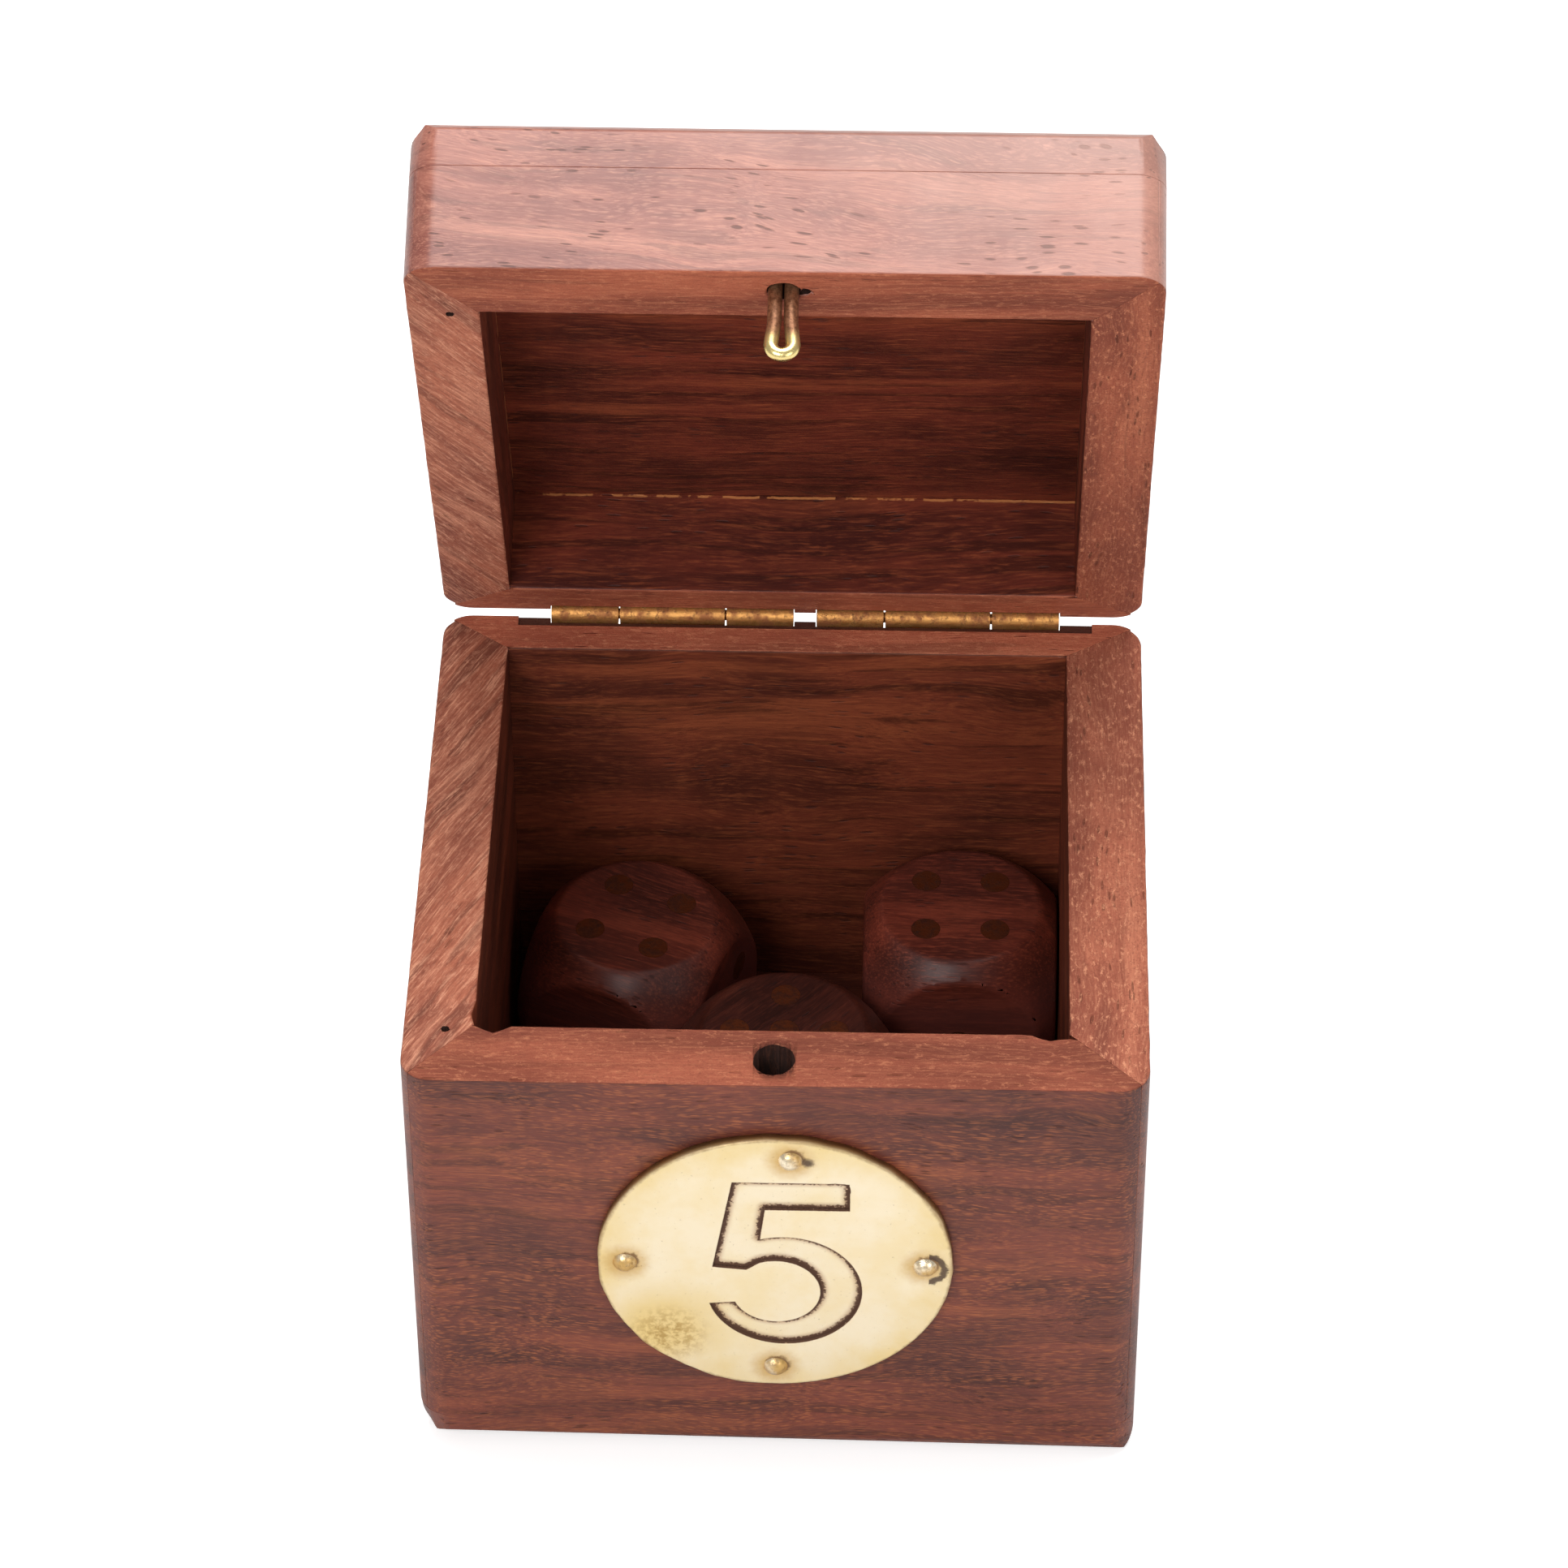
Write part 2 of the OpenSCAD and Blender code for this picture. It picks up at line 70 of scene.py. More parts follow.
# The box, in metres, as it is built
HALF_W = 36 * MM
HALF_D = 33.75 * MM
RIM_Z = 52.5 * MM
LID_RIM_Z = 52.7 * MM
LID_TURN = math.radians(69.2)
HINGE_CUT = 1.7 * MM
HINGE_LINE = Vector((0, 34.25, 52.6)) * MM
PLATE_AT = Vector((0, -34.75, 28.5)) * MM
PLATE_R = 17.6 * MM
NUMERAL_FLOOR_Y = -34.4 * MM
# Reach of the painted shade round the numeral's walls
SHADE_REACH = 1.1 * MM
PIN_CIRCLE = 14.7 * MM
PIN_TURNS = (0, 84, 180, 270)
NUMERAL_REACH = 13.5 * MM
DIE_BALL = 13.097 * MM
CATCH_X = -0.1 * MM
CATCH_Y = -30.15 * MM
WIRE_R = 0.69 * MM
LEG_X = 0.78 * MM
BEND_R = 1.06 * MM
BEND_Z = -5.65 * MM

CLOSED = (
    Matrix.Translation(HINGE_LINE)
    @ Matrix.Rotation(LID_TURN, 4, "X")
    @ Matrix.Translation(-HINGE_LINE)
)


# Modelling

def only(piece):
    """Selects one piece and makes it active."""
    bpy.ops.object.select_all(action="DESELECT")
    piece.select_set(True)
    bpy.context.view_layer.objects.active = piece


def named(name):
    """The primitive that was just added, with its place put into its mesh."""
    piece = bpy.context.object
    piece.name = piece.data.name = name
    bpy.ops.object.transform_apply(location=True, rotation=True, scale=True)
    return piece


def edit(piece):
    """Enters edit mode with everything selected."""
    only(piece)
    bpy.ops.object.mode_set(mode="EDIT")
    bpy.ops.mesh.select_mode(type="VERT")
    bpy.ops.mesh.select_all(action="SELECT")


def leave():
    bpy.ops.object.mode_set(mode="OBJECT")


def pick(piece, kind, test):
    """In edit mode, selects the vertices, edges or faces that pass a test, and says how many."""
    bpy.ops.mesh.select_mode(type={"verts": "VERT", "edges": "EDGE", "faces": "FACE"}[kind])
    bpy.ops.mesh.select_all(action="DESELECT")
    mesh = bmesh.from_edit_mesh(piece.data)
    found = [item for item in getattr(mesh, kind) if test(item)]
    for item in found:
        item.select_set(True)
    mesh.select_flush_mode()
    bmesh.update_edit_mesh(piece.data)
    return len(found)


def carry(piece, matrix):
    """Moves and turns a whole piece, and puts that into its mesh."""
    only(piece)
    piece.matrix_world = matrix @ piece.matrix_world
    bpy.ops.object.transform_apply(location=True, rotation=True, scale=True)


def middle(edge):
    return (edge.verts[0].co + edge.verts[1].co) / 2


def sharp(edge, degrees=25):
    return len(edge.link_faces) == 2 and edge.calc_face_angle(0) > math.radians(degrees)


def modifier(piece, kind, **settings):
    """Adds a modifier and applies it."""
    only(piece)
    added = piece.modifiers.new(kind.lower(), kind)
    for name, value in settings.items():
        setattr(added, name, value)
    bpy.ops.object.modifier_apply(modifier=added.name)


def cut_out(piece, cutter):
    modifier(piece, "BOOLEAN", object=cutter, operation="DIFFERENCE", solver="EXACT")
    bpy.data.objects.remove(cutter)


def copy_of(node, name):
    """A clean copy of a solid: its loose triangles merged, and its flat faces whole again."""
    piece = frame["nodes"][node].copy()
    piece.data = piece.data.copy()
    piece.name = piece.data.name = name
    piece.parent = None
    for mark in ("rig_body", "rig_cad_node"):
        if mark in piece:
            del piece[mark]
    bpy.context.scene.collection.objects.link(piece)
    piece.data.materials.clear()
    edit(piece)
    bpy.ops.mesh.remove_doubles(threshold=0.002 * MM)
    bpy.ops.mesh.dissolve_limited(angle_limit=math.radians(0.5))
    bpy.ops.mesh.customdata_custom_splitnormals_clear()
    leave()
    return piece


def finish_piece(piece, body, slot, *nodes):
    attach(piece, body)
    if nodes:
        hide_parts(*nodes)
    return piece


def close_hole(piece, place, width):
    """Fills the blind hole under a place on a rim, so that the rim can be worn as one face. Lengths in mm."""
    at = Vector(place) * MM

    def inside(face):
        gap = face.calc_center_median() - at
        return gap.xy.length < (width / 2 + 0.25) * MM and 0.02 * MM < abs(gap.z) < 8.5 * MM

    edit(piece)
    pick(piece, "faces", inside)
    bpy.ops.mesh.delete(type="FACE")
    pick(piece, "edges", lambda e: len(e.link_faces) == 1)
    bpy.ops.mesh.edge_face_add()
    bpy.ops.mesh.select_all(action="SELECT")
    bpy.ops.mesh.dissolve_limited(angle_limit=math.radians(0.5))
    leave()


def split_long_edges(piece, longest):
    """Divides sharp edges until none is longer than that, so that wear can follow them."""
    edit(piece)
    while pick(piece, "edges", lambda e: sharp(e) and e.calc_length() > longest):
        bpy.ops.mesh.subdivide(number_cuts=1)
    leave()


def ease_edges(piece, widths, full):
    """Rounds the sharp edges: widths(edge) gives each edge's share of the full width. Edges that get nearly
    all of it are kept as the vertex group worn."""
    edit(piece)
    mesh = bmesh.from_edit_mesh(piece.data)
    layer = mesh.edges.layers.float.new("bevel_weight_edge")
    for edge in mesh.edges:
        edge[layer] = widths(edge) if sharp(edge) else 0
    bmesh.update_edit_mesh(piece.data)
    pick(piece, "edges", lambda e: sharp(e) and widths(e) > 0.9)
    group = piece.vertex_groups.new(name="worn")
    leave()
    group.add([v.index for v in piece.data.vertices if v.select], 1, "REPLACE")
    modifier(piece, "BEVEL", limit_method="WEIGHT", width=full, segments=3, use_clamp_overlap=False,
             loop_slide=False)


def wear(piece, reach, lumps=1.6 * MM):
    """Wears the eased edges away unevenly, always inwards. Large faces are cut up first, so none cracks."""
    modifier(piece, "TRIANGULATE", min_vertices=5)
    clouds = bpy.data.textures.new(piece.name + "_wear", "CLOUDS")
    clouds.noise_scale = lumps
    modifier(piece, "DISPLACE", texture=clouds, texture_coords="LOCAL", strength=reach,
             mid_level=1.0, vertex_group="worn")


def even_shading(piece):
    modifier(piece, "WEIGHTED_NORMAL", keep_sharp=False, weight=80)


def chip(piece, place, radius, push):
    """Pushes an edge in around a place, as where a splinter has broken off. All three are in mm."""
    place = Vector(place) * MM
    edit(piece)
    if pick(piece, "verts", lambda v: (v.co - place).length < radius * 0.3 * MM):
        bpy.ops.transform.translate(value=Vector(push) * MM, use_proportional_edit=True,
                                    proportional_edit_falloff="SMOOTH", proportional_size=radius * MM)
    leave()


def ragged_hole(place, width, depth, high, seed):
    """A cutter for a torn hole, wide along X and deep along Z, with an uneven outline. Lengths in mm."""
    bpy.ops.object.select_all(action="DESELECT")
    bpy.ops.mesh.primitive_cylinder_add(vertices=26, radius=0.5 * MM, depth=2 * high * MM,
                                        location=Vector(place) * MM)
    cutter = named("ragged_hole")
    edit(cutter)
    bpy.ops.transform.resize(value=(width, depth, 1), center_override=Vector(place) * MM)
    bpy.ops.transform.vertex_random(offset=0.09 * MM, uniform=1.0, seed=seed)
    leave()
    return cutter


# Materials: one class wraps a socket for arithmetic, and one makes nodes

class Amount:
    """A number that varies over a surface."""

    def __init__(self, finish, socket):
        self.finish, self.socket = finish, socket

    def _do(self, operation, *numbers):
        return self.finish.math(operation, *numbers)

    def __add__(self, other):
        return self._do("ADD", self, other)

    __radd__ = __add__

    def __sub__(self, other):
        return self._do("SUBTRACT", self, other)

    def __rsub__(self, other):
        return self._do("SUBTRACT", other, self)

    def __mul__(self, other):
        return self._do("MULTIPLY", self, other)

    __rmul__ = __mul__

    def __truediv__(self, other):
        return self._do("DIVIDE", self, other)

    def __gt__(self, other):
        return self._do("GREATER_THAN", self, other)

    def __abs__(self):
        return self._do("ABSOLUTE", self)


class Finish:
    """A material that is being made."""

    def __init__(self, name, **shader):
        self.material = bpy.data.materials.new(name)
        self.material.use_nodes = True
        self.tree = self.material.node_tree
        self.shader = self.tree.nodes["Principled BSDF"]
        self.set(**shader)

    def add(self, kind, settings=None, **sockets):
        """A node of a type, with its settings made first, and then its sockets set or linked."""
        node = self.tree.nodes.new("ShaderNode" + kind)
        for name, value in (settings or {}).items():
            setattr(node, name, value)
        self.fill(node, sockets)
        return node

    def fill(self, node, sockets):
        """Sets or links sockets by name, or by number as n0, n1 and so on."""
        for name, value in sockets.items():
            key = int(name[1:]) if name[0] == "n" and name[1:].isdigit() else name.replace("_", " ")
            socket = node.inputs[key]
            if isinstance(value, Amount):
                self.tree.links.new(value.socket, socket)
            elif isinstance(value, bpy.types.NodeSocket):
                self.tree.links.new(value, socket)
            elif socket.type == "RGBA" and len(value) == 3:
                socket.default_value = (*value, 1)
            else:
                socket.default_value = value

    def set(self, **sockets):
        self.fill(self.shader, sockets)

    def math(self, operation, *numbers):
        node = self.add("Math", {"operation": operation}, **{f"n{i}": n for i, n in enumerate(numbers)})
        return Amount(self, node.outputs[0])

    def vector(self, operation, *values):
        node = self.add("VectorMath", {"operation": operation},
                        **{f"n{i}": value for i, value in enumerate(values)})
        return node.outputs["Value" if operation in ("LENGTH", "DISTANCE", "DOT_PRODUCT") else "Vector"]

    def place(self, turn=(0, 0, 0), shift=(0, 0, 0)):
        """Where a point of the piece is, moved and turned."""
        coordinates = self.add("TexCoord").outputs["Object"]
        return self.add("Mapping", Vector=coordinates, Location=shift, Rotation=turn).outputs[0]

    def parts(self, vector):
        node = self.add("SeparateXYZ", Vector=vector)
        return [Amount(self, out) for out in node.outputs]

    def noise(self, vector, stretch, detail=3.0, roughness=0.55, colour=False):
        node = self.add("TexNoise", Vector=self.vector("MULTIPLY", vector, stretch), Scale=1.0,
                        Detail=detail, Roughness=roughness)
        return node.outputs["Color"] if colour else Amount(self, node.outputs["Fac"])

    def cells(self, vector, stretch):
        """Distance to the nearest of scattered points, and a random number of that point."""
        node = self.add("TexVoronoi", Vector=self.vector("MULTIPLY", vector, stretch), Scale=1.0)
        return Amount(self, node.outputs["Distance"]), self.parts(node.outputs["Color"])[0]

    def ramp(self, amount, low, high, first=0.0, last=1.0):
        """Smooth rise of an amount between two levels."""
        node = self.add("MapRange", {"interpolation_type": "SMOOTHSTEP"}, Value=amount,
                        From_Min=low, From_Max=high, To_Min=first, To_Max=last)
        return Amount(self, node.outputs[0])

    def mix(self, share, a, b, blend="MIX"):
        """Colour a, with a share of colour b."""
        node = self.add("Mix", {"data_type": "RGBA", "blend_type": blend}, n0=share, n6=a, n7=b)
        return node.outputs[2]

    def shift_by(self, vector, scale, reach):
        """A place pushed about by soft noise, so that what is drawn on it waves."""
        pushed = self.vector("SUBTRACT", self.noise(vector, scale, 2.0, colour=True), (0.5, 0.5, 0.5))
        return self.vector("ADD", vector, self.vector("MULTIPLY", pushed, reach))

    def bump(self, height, distance, strength=1.0):
        self.set(Normal=self.add("Bump", Height=height, Distance=distance, Strength=strength).outputs[0])


def colour(red, green, blue):
    """A colour as a paint chart gives it, from 0 to 255."""
    return tuple(((c / 255 + 0.055) / 1.055) ** 2.4 for c in (red, green, blue))


def lid_place(finish, grain_turn=(0, 0, 0)):
    """A lid point's place as if the lid were closed, so that the grain follows the boards."""
    shift = CLOSED.to_translation()
    closed = finish.place((LID_TURN, 0, 0), tuple(shift))
    return finish.add("Mapping", Vector=closed, Rotation=grain_turn).outputs[0]


def wood(name, tones, on_lid=False, turn=(0, 0, 0), axis=0, waves=4.0, veins=0.4, fleck=0.35, pores=0.35,
         fuzz=0.0, streak=0.5, gloss=0.4, coat=0.0, relief=0.05, marks=None):
    """Hardwood with long fibres along one axis, waving bands, dark veins, light flecks and dark pores.
    tones are its dark, middle and light colours, waves the sideways sweep of the grain in mm, and
    marks adds local marks on top: a glue line, and painted sheen and painted shade."""
    dark, mid, light = tones
    deep = tuple(c * 0.4 for c in dark)
    f = Finish(name, Specular_IOR_Level=0.35, Coat_Roughness=0.3, IOR=1.45)
    here = lid_place(f, turn) if on_lid else f.place(turn)

    def along(length, width):
        """Pattern scale for features of that length and width in mm."""
        return tuple(1 / ((length if i == axis else width) * MM) for i in range(3))

    swept = f.shift_by(here, along(34, 15), (waves * MM,) * 3)
    swept = f.shift_by(swept, along(9, 4), (0.5 * MM,) * 3)
    bands = f.noise(swept, along(75, 5), 3.0)
    lines = f.noise(swept, along(50, 1.3), 2.0, 0.5)
    fibres = f.noise(swept, along(4.5, 0.25), 4.0, 0.65)
    cloud = f.noise(here, (1 / (13 * MM),) * 3, 2.0)
    tone = f.ramp(bands * 0.65 + cloud * 0.4, 0.4, 0.66)
    shade = f.mix(tone, dark, mid)
    shade = f.mix(f.ramp(bands - cloud * 0.3, 0.42, 0.56) * streak * 0.6, shade, light)
    shade = f.mix(f.ramp(lines, 0.54, 0.66) * veins, shade, deep)
    shade = f.mix(f.ramp(fibres, 0.48, 0.74) * streak, shade, light)
    shade = f.mix(f.ramp(fibres, 0.5, 0.34) * streak * 0.6, shade, dark)
    fleck_gap, fleck_pick = f.cells(swept, along(1.4, 0.2))
    thick = f.ramp(f.noise(here, along(20, 7), 1.0), 0.36, 0.58, 0.3, 1.0)
    flecks = f.ramp(fleck_gap, 0.5, 0.22) * (fleck_pick > 0.35) * thick
    shade = f.mix(flecks * fleck, shade, light)
    threads = f.noise(swept, along(1.8, 0.12), 2.0, 0.6)
    shade = f.mix(f.ramp(threads, 0.55, 0.7) * fleck * 0.7, shade, light)
    shade = f.mix(f.ramp(threads, 0.45, 0.32) * 0.45, shade, dark)
    pore_gap, pore_pick = f.cells(f.vector("ADD", swept, (0.03, 0.05, 0.07)), along(3.0, 0.5))
    grouped = f.ramp(f.noise(here, along(16, 6), 1.0), 0.42, 0.6)
    holes = f.ramp(pore_gap, 0.3, 0.16) * (pore_pick > 0.55) * grouped
    shade = f.mix(holes * pores, shade, deep)
    grit = f.noise(here, (1 / (0.22 * MM),) * 3, 3.0, 0.7)
    if fuzz:
        tufts = f.noise(f.shift_by(here, (1500,) * 3, (0.5 * MM,) * 3), along(1.1, 0.4), 3.0, 0.7)
        shade = f.mix(f.ramp(tufts, 0.52, 0.7) * fuzz, shade, light)
        shade = f.mix(f.ramp(grit, 0.5, 0.32) * fuzz, shade, dark)
    if marks:
        shade = marks(f, here, shade)
    f.set(Base_Color=shade, Roughness=gloss + (fibres - 0.5) * 0.18 + holes * 0.25, Coat_Weight=coat)
    f.bump(fibres * 0.5 + grit * (0.2 + fuzz) - holes * 0.9 - flecks * 0.1, relief * MM)
    return f.material


BODY_OUT = (colour(80, 40, 34), colour(120, 59, 45), colour(168, 96, 56))
# Near-black tones for the sides of holes: painted shade
BORE_SHADE = (colour(34, 16, 11), colour(52, 26, 18), colour(84, 46, 30))
BODY_IN = (colour(78, 34, 24), colour(126, 58, 38), colour(164, 88, 52))
RIM = (colour(122, 60, 43), colour(164, 88, 64), colour(204, 130, 94))
RIM_RIGHT = (colour(138, 72, 54), colour(184, 106, 80), colour(226, 154, 118))
RIM_BACK = (colour(150, 74, 54), colour(190, 106, 78), colour(226, 150, 112))
RIM_PALE = (colour(124, 64, 48), colour(174, 100, 74), colour(226, 160, 128))
LID_OUT = (colour(124, 68, 58), colour(164, 102, 86), colour(204, 142, 118))
LID_IN = (colour(66, 24, 18), colour(112, 46, 32), colour(158, 80, 48))
LID_RIM = (colour(124, 59, 41), colour(172, 92, 65), colour(212, 135, 98))
# Near-black colour of the painted shade in the step behind the hinges
STEP_SHADE = colour(36, 18, 12)


def glue_line(f, here, shade):
    """A thin, broken bead of pale glue where the lid's inside walls meet its ceiling."""
    z = f.parts(here)[2] / MM
    breaks = f.noise(here, (1 / (2.5 * MM),) * 3, 3.0, 0.6)
    off = abs(z - (LID_RIM_Z / MM + 11.2) + (breaks - 0.5) * 0.5)
    bead = f.ramp(off, 0.2, 0.08) * f.ramp(breaks, 0.44, 0.5)
    return f.mix(bead * 0.8, shade, colour(200, 128, 76))


def painted_sheen(f, here, shade):
    """Painted sheen: the lid's front and top are paled towards a pinkish white, most of all towards the upper
    right, where the overhead lamp's reflection falls.
    """
    x, _, z = f.parts(here)
    drift = f.noise(here, (1 / (11 * MM),) * 3, 3.0)
    painted_light = f.ramp(x / MM * 0.01 + z / MM * 0.02 + drift * 0.9, 1.35, 2.2)
    return f.mix(painted_light * 0.4, shade, colour(210, 166, 150))


def step_shade(f, here, shade):
    """Painted shade: the shallow step behind the hinges is darkened towards near black."""
    _, y, z = f.parts(here)
    low = f.ramp(z / MM, RIM_Z / MM - 0.05, RIM_Z / MM - 0.16)
    return f.mix(low * 0.85, shade, STEP_SHADE)


def body_woods():
    """Outside, rim, inside and bore finishes. The letters x and y are for grain along X and along Y."""
    made = {}
    for letter, axis in (("x", 0), ("y", 1)):
        made["out_" + letter] = wood("body_polish_" + letter, BODY_OUT, axis=axis, waves=8, fleck=0.55,
                                     pores=0.5, veins=0.45, streak=0.35, gloss=0.42, coat=0.08)
        made["in_" + letter] = wood("body_inside_" + letter, BODY_IN, axis=axis, waves=6, fleck=0.2,
                                    pores=0.6, veins=0.6, streak=0.5, gloss=0.5, relief=0.04)
    made["bore"] = wood("bored_wood", BORE_SHADE, axis=2, fuzz=0.4, gloss=0.8)
    made["rim_x"] = wood("front_rim_sawn", RIM, axis=0, waves=3, fleck=0.15, pores=0.3, fuzz=0.5,
                         streak=0.35, veins=0.15, gloss=0.75, relief=0.12)
    made["rim_back"] = wood("back_rim_sawn", RIM_BACK, axis=0, waves=3, fleck=0.15, pores=0.3, fuzz=0.45,
                            streak=0.35, gloss=0.7, relief=0.12, marks=step_shade)
    made["rim_left"] = wood("left_rim_sawn", RIM_PALE, axis=1, turn=(0, 0, math.radians(28)), waves=4,
                            fleck=0.2, veins=0.5, pores=0.3, fuzz=0.3, streak=0.8, gloss=0.7, relief=0.12)
    made["rim_right"] = wood("right_rim_sawn", RIM_RIGHT, axis=1, waves=6, fleck=0.2, pores=0.5,
                             fuzz=0.75, streak=0.3, veins=0.2, gloss=0.75, relief=0.14)
    return made


def lid_woods():
    """The same for the lid, whose front and top carry a painted sheen and whose grain leans a little."""
    made = {}
    for letter, axis in (("x", 0), ("y", 1)):
        made["out_" + letter] = wood("lid_polish_" + letter, LID_OUT, on_lid=True, axis=axis, waves=9,
                                     turn=(0, math.radians(-5), 0), veins=0.35, fleck=0.3, pores=0.75,
                                     streak=0.45, gloss=0.36, coat=0.45, marks=painted_sheen)
        made["in_" + letter] = wood("lid_inside_" + letter, LID_IN, on_lid=True, axis=axis, waves=5,
                                    fleck=0.15, veins=0.6, pores=0.6, streak=0.6, gloss=0.45, relief=0.04,
                                    marks=glue_line)
    made["bore"] = wood("lid_bored_wood", BORE_SHADE, on_lid=True, axis=2, fuzz=0.4, gloss=0.8)
    made["rim_x"] = wood("lid_front_rim_sawn", LID_RIM, on_lid=True, axis=0, waves=4, fleck=0.1,
                         pores=0.2, fuzz=0.35, streak=0.45, veins=0.3, gloss=0.7, relief=0.1)
    made["rim_back"] = made["rim_x"]
    made["rim_left"] = wood("lid_left_rim_sawn", RIM_PALE, on_lid=True, axis=1, waves=4,
                            turn=(0, 0, math.radians(36)), fleck=0.2, pores=0.4, fuzz=0.4, streak=0.75,
                            veins=0.4, gloss=0.7, relief=0.12)
    made["rim_right"] = wood("lid_right_rim_sawn", LID_RIM, on_lid=True, axis=1, waves=6, fleck=0.2,
                             pores=0.6, fuzz=0.75, streak=0.3, gloss=0.75, relief=0.14)
    return made


def brass(name, bright, dull, grime, shine=0.3, dirt=0.5, lump=3.0, relief=0.05, turned=False):
    """Aged brass: bright metal under patches of dull tarnish and dark grime."""
    f = Finish(name, IOR=1.5)
    here = lid_place(f) if turned else f.place()
    patches = f.ramp(f.noise(here, (1 / (lump * MM),) * 3, 4.0, 0.6), 0.4, 0.66)
    specks = f.ramp(f.noise(here, (1 / (0.5 * MM),) * 3, 3.0, 0.65), 0.5, 0.72)
    scratches = f.noise(f.shift_by(here, (180,) * 3, (1.5 * MM,) * 3), (260, 5200, 5200), 2.0)
    shade = f.mix(patches, bright, dull)
    shade = f.mix(specks * dirt, shade, grime)
    f.set(Base_Color=shade, Metallic=0.95 - patches * 0.25 - specks * dirt * 0.4,
          Roughness=shine + patches * 0.14 + specks * 0.12 + (scratches - 0.5) * 0.16)
    f.bump(scratches * 0.35 + specks * 0.3 + patches * 0.3, relief * MM)
    return f.material


def plate_finish():
    """The plate's cream-gold face, yellowed at its edge and round its pins, with a painted shadow by each pin
    and painted shade, brown to dark, on the numeral's floor near its walls."""
    f = Finish("plate_brass", IOR=1.5)
    here = f.place(shift=tuple(-PLATE_AT))
    x, depth, z = f.parts(here)
    flat = f.vector("MULTIPLY", here, (1, 0, 1))
    out = Amount(f, f.vector("LENGTH", flat)) / MM
    cloud = f.noise(here, (1 / (7 * MM),) * 3, 4.0, 0.6)
    fine = f.noise(here, (1 / (0.9 * MM),) * 3, 4.0, 0.65)
    dust_grain = f.noise(here, (1 / (0.3 * MM),) * 3, 2.0, 0.6)
    dust = f.ramp(dust_grain, 0.66, 0.76)

    def near(px, pz, reach, core=0.0):
        """1 at a place on the face, in mm from its middle, and 0 beyond its reach."""
        gap = Amount(f, f.vector("DISTANCE", flat, (px * MM, 0, pz * MM))) / MM
        return f.ramp(gap + (fine - 0.5) * 1.2, reach, core)

    rings = shadows = 0.0
    for turn in PIN_TURNS:
        angle = math.radians(turn)
        px, pz = PIN_CIRCLE / MM * math.cos(angle), PIN_CIRCLE / MM * math.sin(angle)
        rings = f.math("MAXIMUM", rings, near(px, pz, 3.1, 0.9))
        shadows = f.math("MAXIMUM", shadows, near(px + 0.22, pz + 0.3, 1.4, 1.0))
    edge = f.ramp(out + cloud * 5, 15.5, 21.5)
    smudge = near(-10.6, -10.2, 5.2, 1.0) * f.ramp(fine, 0.4, 0.62)
    smudge_soft = near(-11, -9, 8.0, 2.0)
    gold = f.mix(f.ramp(cloud, 0.35, 0.7) * 0.55, colour(247, 232, 202), colour(240, 216, 160))
    gold = f.mix(f.math("MAXIMUM", edge * 0.55, smudge_soft * 0.7), gold, colour(232, 200, 116))
    gold = f.mix(rings * 0.8, gold, colour(206, 164, 88))
    gold = f.mix(shadows * 0.75, gold, colour(96, 60, 38))
    gold = f.mix(smudge * 0.75, gold, colour(176, 136, 66))
    gold = f.mix(dust * 0.35, gold, colour(150, 112, 60))
    # Painted shade: the numeral's floor is browned and darkened near its walls.
    wall_nearness = Amount(f, f.add("Attribute", {"attribute_name": "scorch"}).outputs["Fac"])
    scorch = f.ramp(wall_nearness + ((dust_grain - 0.5) * 1.2 + (fine - 0.5) * 1.0) * wall_nearness, 0.48, 0.74)
    gold = f.mix(f.ramp(wall_nearness, 0.08, 0.8) * 0.65, gold, colour(172, 122, 80))
    gold = f.mix(scorch * 0.95, gold, colour(78, 44, 28))
    gold = f.mix(f.ramp(out + (fine - 0.5) * 0.5, 17.0, 17.4) * 0.55, gold, colour(120, 74, 38))
    gouge_gap = Amount(f, f.vector("DISTANCE", flat, (14.9 * MM, 0, -0.3 * MM))) / MM
    gouge = f.ramp(abs(gouge_gap - 1.75 + (fine - 0.5) * 1.1), 0.5, 0.2) * (x > 15.1 * MM)
    nick_gap = Amount(f, f.vector("DISTANCE", flat, (3.2 * MM, 0, 14.4 * MM))) / MM
    nick = f.ramp(nick_gap + (fine - 0.5) * 0.8, 0.8, 0.3)
    marks = f.math("MAXIMUM", gouge, nick)
    gold = f.mix(marks * 0.9, gold, colour(62, 36, 24))
    side = f.ramp(depth, 0.12 * MM, 0.45 * MM) * (out > 16)
    gold = f.mix(side * 0.6, gold, colour(168, 124, 62))
    f.set(Base_Color=gold, Metallic=0.55 - scorch * 0.4 - marks * 0.4,
          Roughness=0.42 + fine * 0.16 + scorch * 0.25 - smudge_soft * 0.06)
    f.bump(cloud * 1.2 + fine * 0.35 - marks * 1.6 - dust * 0.4 - smudge * 0.3, 0.08 * MM)
    return f.material


def wire_finish():
    """Spring wire: brown where the fingers never rub it, bright gold at the bend."""
    f = Finish("catch_wire", IOR=1.5)
    here = lid_place(f)
    _, _, z = f.parts(here)
    rub = f.ramp(z / MM + f.noise(here, (900,) * 3, 2.0) * 1.4, LID_RIM_Z / MM - 3.2, LID_RIM_Z / MM - 6.0)
    fine = f.noise(here, (1 / (0.35 * MM),) * 3, 3.0, 0.65)
    drawn = f.noise(here, (4000, 4000, 260), 2.0)
    shade = f.mix(f.ramp(fine, 0.4, 0.65), colour(150, 104, 74), colour(112, 72, 48))
    shade = f.mix(rub, shade, colour(246, 222, 150))
    f.set(Base_Color=shade, Metallic=0.6 + rub * 0.38, Roughness=0.46 - rub * 0.2 + (drawn - 0.5) * 0.15)
    f.bump(drawn * 0.5 + fine * 0.5, 0.03 * MM)
    return f.material


